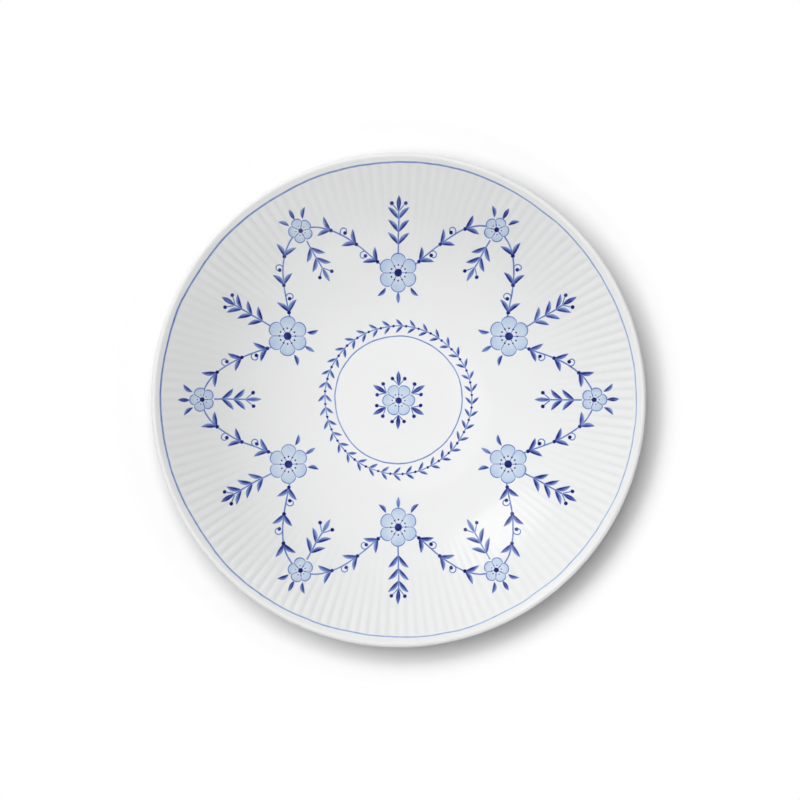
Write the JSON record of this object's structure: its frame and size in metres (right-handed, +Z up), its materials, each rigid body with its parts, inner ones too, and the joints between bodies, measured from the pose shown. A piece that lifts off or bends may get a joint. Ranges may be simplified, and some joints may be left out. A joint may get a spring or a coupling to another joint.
{
  "type": "serving bowl",
  "caption": "Wide shallow porcelain serving bowl with a finely fluted inside wall, a plain rounded lip and a round foot ring.",
  "frame": {"origin": "centre of the foot ring's standing face, on the table", "axes": "+Z up along the bowl's axis, +X to the right and +Y to the top of the picture"},
  "size_m": [0.24, 0.24, 0.052],
  "materials": {
    "glazed_porcelain": "clear gloss glaze over white porcelain, with cobalt blue painted under the glaze",
    "foot_porcelain": "clear gloss glaze, wiped off the standing edge to bare matt porcelain"
  },
  "bodies": {
    "root": {"fluted_bowl": "glazed_porcelain", "foot_ring": "foot_porcelain"}
  },
  "joints": []
}
